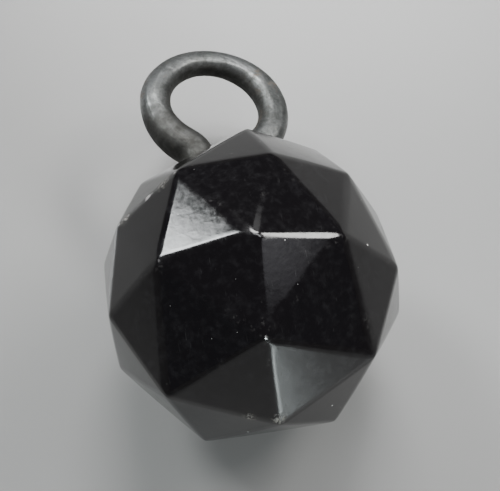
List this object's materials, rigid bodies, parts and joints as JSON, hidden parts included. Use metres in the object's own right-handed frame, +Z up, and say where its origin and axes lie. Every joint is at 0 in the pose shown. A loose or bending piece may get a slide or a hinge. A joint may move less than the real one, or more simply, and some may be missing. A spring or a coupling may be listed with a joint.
{
  "type": "ball button",
  "caption": "Faceted black glass ball button with a round iron wire eye set in its back, sewn on through the eye.",
  "frame": {"origin": "on the table, under the middle of the box round the whole button as it lies on one facet", "axes": "+Z up; +Y from the front of the ball towards the eye, whose axis dips 9.3 degrees below +Y; +X to the right, seen from the front"},
  "size_m": [0.0116, 0.0188, 0.012],
  "materials": {
    "black_glass": "polished",
    "iron_wire": "satin",
    "iron_plate": "matte",
    "setting_cement": "matte"
  },
  "bodies": {
    "root": {"glass_ball": "black_glass", "wire_shank": "iron_wire", "anchor_plate": "iron_plate", "setting_cement": "setting_cement"}
  },
  "joints": []
}
